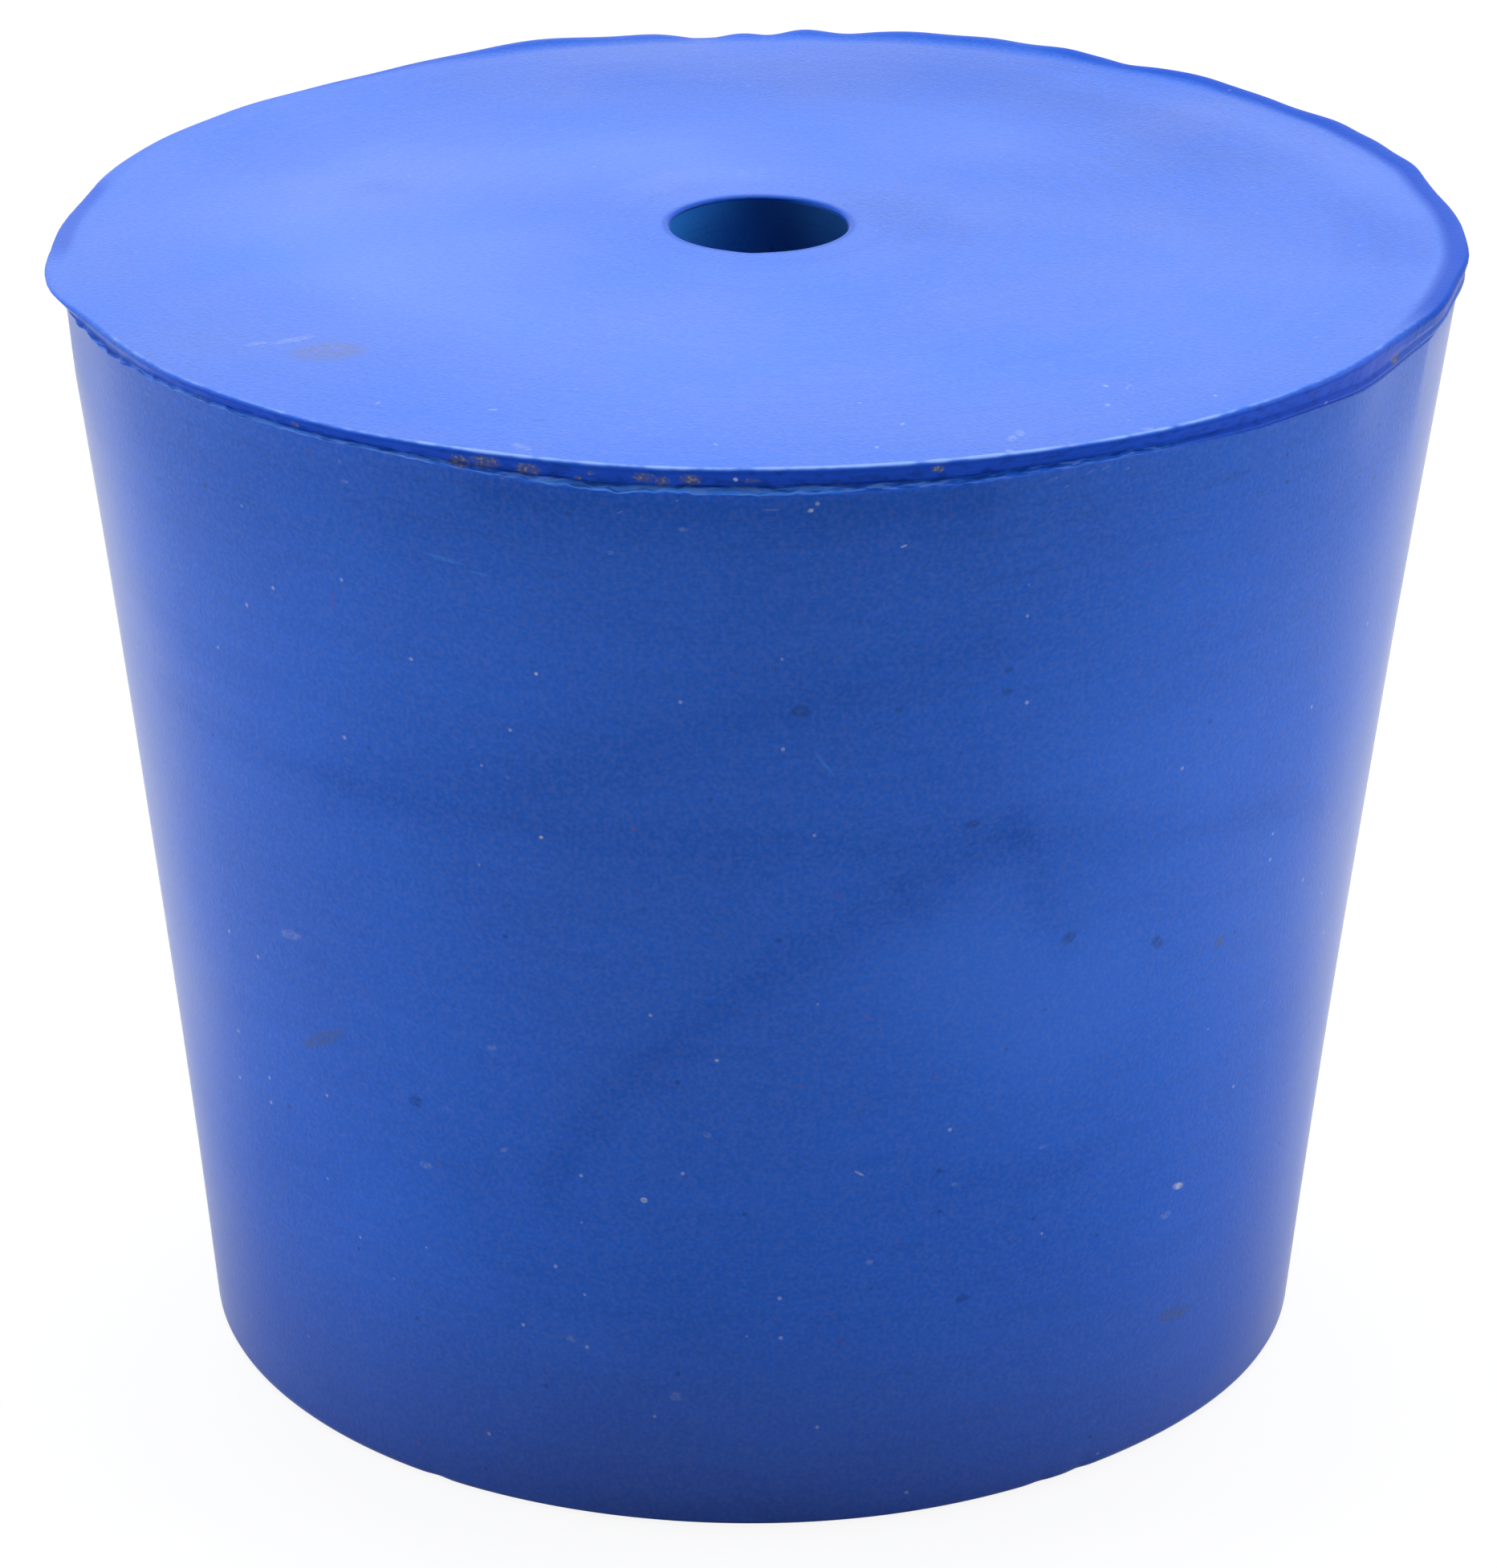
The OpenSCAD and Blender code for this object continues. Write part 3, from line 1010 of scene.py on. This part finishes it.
# %% List the marks of the top face
# Each is (x, y, half width, half height, tilt in degrees), from the plug's axis.
TOP_MARKS = {
    "fine_grit": [
        (2.79, -16.15, 0.05, 0.08, 0), (8.21, -13.28, 0.06, 0.08, 0),
        (8.22, -11.93, 0.06, 0.09, 30), (8.72, -12.08, 0.04, 0.06, 0),
        (-8.76, -13.06, 0.05, 0.09, -20), (-6.06, -13.55, 0.1, 0.05, 10),
        (5.81, -16.42, 0.09, 0.06, 10), (10.75, -12.64, 0.04, 0.06, 0),
        (-0.89, -15.97, 0.04, 0.09, 20), (2.45, -13.1, 0.04, 0.07, 20),
        (3.4, -14.6, 0.05, 0.09, -20),
    ],
    "bloom_fleck": [
        (-11.03, -8.49, 0.55, 0.14, 30), (-11.9, -8.8, 0.3, 0.1, 25),
        (-5.33, -16.11, 0.15, 0.3, 40), (6.09, -15.22, 0.12, 0.2, 0),
        (5.9, -15.56, 0.1, 0.2, 0), (9.04, -14.94, 0.15, 0.1, 0),
    ],
    "red_speck": [(13.19, -8.79, 0.07, 0.1, 0)],
    "dark_speck": [(-5.0, -14.3, 0.16, 0.05, 10)],
    "smear": [(-10.14, -9.38, 0.9, 0.65, 15)],
}
print(sum(len(marks) for marks in TOP_MARKS.values()), "marks on the top face")

# %% Lay the marks on the rubber
# Each finish is (colour, strength, share that stays where the fine noise breaks a mark up).
MARK_FINISHES = {
    "grit": ("#DDE2F6", 0.75, 0.5), "fine_grit": ("#C4D0F4", 0.4, 0.5),
    "bloom_fleck": ("#93AAE8", 0.4, 0.3), "red_speck": ("#7A4A9A", 0.3, 0.5),
    "dark_speck": ("#123274", 0.45, 0.5), "smear": ("#5C6478", 0.5, 0.25),
    "soil": ("#6A6E86", 0.75, 0.5), "scratch": ("#3F8CF8", 0.7, 0.6),
}
BREAK_SIZE = 0.1
BREAK_START = 0.4               # the noise's values between which a mark holds
BREAK_FULL = 0.6
broken = add(tree, "TexNoise", {"Vector": at, "Scale": 1 / BREAK_SIZE, "Detail": 2})
side_marks = {
    name: [(*side_place(*mark[:2]), *mark[2:]) for mark in marks]
    for name, marks in SIDE_MARKS.items()
}
for name, (hex_colour, strength, least) in MARK_FINISHES.items():
    kept = add(tree, "MapRange", {
        "Value": broken, "From Min": BREAK_START, "From Max": BREAK_FULL,
        "To Min": strength * least, "To Max": strength,
    }, interpolation_type="SMOOTHSTEP")
    for (surface, only), marks in zip(surfaces.values(), (side_marks, TOP_MARKS)):
        if name in marks:
            kept_here = add(tree, "Math", {0: kept, 1: only}, operation="MULTIPLY")
            balls = ovals(surface, marks[name])
            colour = lay(colour, hex_colour, balls, OVAL_START, OVAL_FULL, within=kept_here)
            if name == "soil":
                soil = balls
print("the colour now passes", len(tree.nodes), "nodes")

# %% Scatter dry grains in the soil
DRY_START = 0.55                # the same noise's values between which the soil is dry and pale
DRY_FULL = 0.68
DRY_MOST = 0.55
grains = add(tree, "MapRange", {"Value": soil, "From Min": OVAL_START, "From Max": OVAL_FULL})
colour = lay(colour, "#B4AC98", broken, DRY_START, DRY_FULL, most=DRY_MOST, within=grains)
print("the soil is dry above", DRY_START)

# %% [markdown]
# ### Fine specks and turning scores
# All round, the compound shows tiny specks of pale filler and of darker pigment that never mixed
# in. High on the side the mould's tool has also left short dark scores. A Voronoi pattern gives
# each cell one speck, and the cell's own random colour picks the few cells that keep theirs. The
# specks are fainter on the top face, where the bloom is thickest.

# %% Scatter specks
SPECK_SPACING = 0.8
KEEP_FADE = 0.05                # the random values over which a speck comes in
FACE_SHARE = 0.3                # the top face's specks have this share of their strength
# Each is (colour, half width in millimetres, random value above which it shows, strength, how far
# its pattern is shifted).
SPECKS = [
    ("#C9D4F8", 0.07, 0.72, 0.45, (0, 0, 7)), ("#14357C", 0.09, 0.78, 0.4, (9, 5, 7)),
    ("#7B5AB8", 0.08, 0.86, 0.4, (18, 10, 7)),
]
clearer = add(
    tree, "Math", {0: off_face, 1: 1 - FACE_SHARE, 2: FACE_SHARE}, operation="MULTIPLY_ADD",
)
for hex_colour, half, shown, strength, shift in SPECKS:
    moved = add(tree, "VectorMath", {0: at, 1: shift}, operation="ADD")
    cells = add(tree, "TexVoronoi", {"Vector": moved, "Scale": 1 / SPECK_SPACING})
    chance = add(tree, "SeparateColor", {"Color": cells.outputs["Color"]})
    picked = add(tree, "MapRange", {
        "Value": chance, "From Min": shown, "From Max": shown + KEEP_FADE, "To Max": clearer,
    })
    rim_of_speck = half / SPECK_SPACING
    colour = lay(
        colour, hex_colour, cells, rim_of_speck, rim_of_speck / 2, most=strength, within=picked,
    )
print("specks lie about", SPECK_SPACING, "mm apart")

# %% Score the side below the rim
SCORES_START = 20.0             # the scores come in between these heights
SCORES_FULL = 27.5
SCORE_START = 0.6               # the noise's values between which a score is drawn
SCORE_FULL = 0.7
SCORE_MOST = 0.16
scores = turned_lines(spacing=0.07, length=1.4, detail=1)
high = add(tree, "MapRange", {
    "Value": xyz["Z"], "From Min": SCORES_START, "From Max": SCORES_FULL,
}, interpolation_type="SMOOTHSTEP")
high_on_side = add(tree, "Math", {0: high, 1: off_face}, operation="MULTIPLY")
colour = lay(
    colour, "#12409A", scores, SCORE_START, SCORE_FULL, most=SCORE_MOST, within=high_on_side,
)
print("scores come in above", SCORES_START, "mm")

# %% [markdown]
# ### Relief and gloss
# The mould's turning marks and the grain of the compound are also felt, so they go into a bump. It
# is very low: a few hundredths of a millimetre. Wide clouds of noise change the roughness a little.

# %% Raise the grain and the turning lines
RELIEF = 0.02                   # millimetres from the lowest to the highest grain
RELIEF_STRENGTH = 0.35
TURNING_RELIEF = 0.6            # the turning marks stand this high against the grain
CLOUD_LOW = 0.3                 # the clouds' noise lies mostly between these values
CLOUD_HIGH = 0.7
SMOOTHEST = 0.30
ROUGHEST = 0.40
relief = add(tree, "Math", {0: turning, 1: TURNING_RELIEF, 2: grain}, operation="MULTIPLY_ADD")
bump = add(tree, "Bump", {
    "Height": relief, "Strength": RELIEF_STRENGTH, "Distance": RELIEF * MM,
})
roughness = add(tree, "MapRange", {
    "Value": clouds, "From Min": CLOUD_LOW, "From Max": CLOUD_HIGH, "To Min": SMOOTHEST,
    "To Max": ROUGHEST,
})
print("the relief is", RELIEF, "mm high")

# %% [markdown]
# ### Bloom's sheen
# The wax crystals stand up like very short hairs, so they give a soft sheen where light grazes
# them, and most of it where the surface turns away from the eye. The sheen follows the bloom: all
# of it on the open faces, more on a pale cloud or painted light, and none on the rim, on the
# painted shade of the edge, on the bare lip and in the bore.

# %% Work out how much bloom lies where
CLOUD_BLOOM = 1.2               # how much more bloom a painted tone of 1 stands for
bloom = add(tree, "Math", {0: areas["tone"], 1: CLOUD_BLOOM, 2: 1}, operation="MULTIPLY_ADD")
for name in ("land", "edge_shade_and_bare_lip", "depth", "tear"):
    bloom = add(tree, "Math", {0: bloom, 1: areas[name]}, operation="SUBTRACT")
bloom = add(tree, "Math", {0: bloom, 1: 0}, operation="MAXIMUM")
print("a full cloud holds", 1 + CLOUD_BLOOM, "times the bloom")

# %% Finish the rubber
RUBBER_IOR = 1.52
BLOOM_GLOSS = 0.14              # what full bloom adds to the bare rubber's gloss
BARE_GLOSS = 0.04
SHEEN_ROUGHNESS = 0.4
SHEEN_START = 0.6               # the sheen grows from this share of turning away
SHEEN_FACING = 0.054
SHEEN_AWAY = 0.72

turned_away = add(tree, "LayerWeight", {"Blend": 0.5}).outputs["Facing"]
hairs = add(tree, "MapRange", {
    "Value": turned_away, "From Min": SHEEN_START, "To Min": SHEEN_FACING, "To Max": SHEEN_AWAY,
})
shader = add(tree, "BsdfPrincipled", {
    "Base Color": colour, "Normal": bump, "Roughness": roughness, "IOR": RUBBER_IOR,
    "Specular IOR Level": add(
        tree, "Math", {0: bloom, 1: BLOOM_GLOSS, 2: BARE_GLOSS}, operation="MULTIPLY_ADD",
    ),
    "Sheen Weight": add(tree, "Math", {0: bloom, 1: hairs}, operation="MULTIPLY"),
    "Sheen Roughness": SHEEN_ROUGHNESS,
})
add(tree, "OutputMaterial", {"Surface": shader})
mesh.materials.append(rubber)
print(rubber.name, "has", len(tree.nodes), "nodes")

# %% [markdown]
# ## Floor and light
# The stopper stands on matt white paper. For the camera the paper is mostly plain white, so the
# background stays clean, and a part of its real shading stays, so the stopper keeps its shadow.

# %% Lay the floor
FLOOR_HALF = 900 * MM
FLOOR_DROP = -0.02 * MM         # just under the base, so the two faces never share a plane
floor_mesh = bpy.data.meshes.new("floor")
sheet = bmesh.new()
bmesh.ops.create_grid(sheet, x_segments=1, y_segments=1, size=FLOOR_HALF)
bmesh.ops.translate(sheet, verts=sheet.verts, vec=(0, 0, FLOOR_DROP))
sheet.to_mesh(floor_mesh)
sheet.free()
floor = bpy.data.objects.new("floor", floor_mesh)
bpy.context.scene.collection.objects.link(floor)
floor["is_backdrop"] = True
print("floor is", round(2 * FLOOR_HALF / MM), "mm wide")

# %% Make the paper
PLAIN_PART = 0.9                # the camera sees this much plain white
SHADED_PART = "#6C6C6C"         # and this much of the paper's real shading, which makes it whole
paper = bpy.data.materials.new("matt_white_paper")
paper.use_nodes = True
tree = paper.node_tree
tree.nodes.clear()
matt = add(tree, "BsdfDiffuse", {"Color": paint("#F0F0F0")})
plain = add(tree, "Emission", {"Color": paint("#FFFFFF"), "Strength": PLAIN_PART})
shaded = add(tree, "BsdfDiffuse", {"Color": paint(SHADED_PART)})
seen = add(tree, "AddShader", {0: plain, 1: shaded})
camera_ray = add(tree, "LightPath").outputs["Is Camera Ray"]
mixed = add(tree, "MixShader", {0: camera_ray, 1: matt, 2: seen})
add(tree, "OutputMaterial", {"Surface": mixed})
floor_mesh.materials.append(paper)
print("the camera sees", PLAIN_PART, "of plain white in the paper")

# %% Set the studio's background
FILL = 0.01                     # light from the room, where nothing looks at it directly
world = bpy.data.worlds.new("studio")
bpy.context.scene.world = world
world.use_nodes = True
tree = world.node_tree
tree.nodes.clear()
rays = add(tree, "LightPath").outputs
seen = add(
    tree, "Math", {0: rays["Is Camera Ray"], 1: rays["Is Glossy Ray"]}, operation="MAXIMUM",
)
seen = add(tree, "Math", {0: seen, 1: rays["Is Transmission Ray"]}, operation="MAXIMUM")
room = add(tree, "Background", {"Color": paint("#FFFFFF"), "Strength": FILL})
white = add(tree, "Background", {"Color": paint("#FFFFFF"), "Strength": 1})
mixed = add(tree, "MixShader", {0: seen, 1: room, 2: white})
add(tree, "OutputWorld", {"Surface": mixed})
print("room fill is", FILL)

# %% [markdown]
# ### Softboxes
# A big softbox hangs overhead and a little behind, so the top face is the brightest. One on each
# side lights the flanks, and a weak one behind lights the far rim.

# %% Hang the softboxes
def softbox(name, place, width, depth, radiance):
    """Hangs a soft rectangular lamp at a place in millimetres, aimed at the stopper's middle."""
    lamp = bpy.data.lights.new(name, "AREA")
    lamp.shape = "RECTANGLE"
    lamp.size = width * MM
    lamp.size_y = depth * MM
    lamp.energy = radiance * math.pi * lamp.size * lamp.size_y
    holder = bpy.data.objects.new(name, lamp)
    bpy.context.scene.collection.objects.link(holder)
    aim = Vector((0, 0, HEIGHT / 2 * MM)) - Vector(place) * MM
    holder.location = Vector(place) * MM
    holder.rotation_euler = aim.to_track_quat("-Z", "Y").to_euler()
    return holder


# Each has a name, a place, a width, a depth and a radiance.
softboxes = [
    softbox("overhead_softbox", (5, 60, 330), 300, 300, 4.4),
    softbox("left_softbox", (-300, 40, 120), 200, 240, 2.35),
    softbox("right_softbox", (300, 40, 120), 200, 240, 2.4),
    softbox("rear_softbox", (-80, 330, 150), 420, 160, 0.43),
]
print(len(softboxes), "softboxes hang over and beside the stopper")

# %% [markdown]
# ## Hand over
# The view transform is Standard, so a colour shows as it was written. The box of the dressed part
# is printed.

# %% Measure and finish
bpy.context.scene.view_settings.view_transform = "Standard"
dressed_low, dressed_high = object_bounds()
for name, corner in {"low": dressed_low, "high": dressed_high}.items():
    print("visual box", name, [round(v / MM, 2) for v in corner])
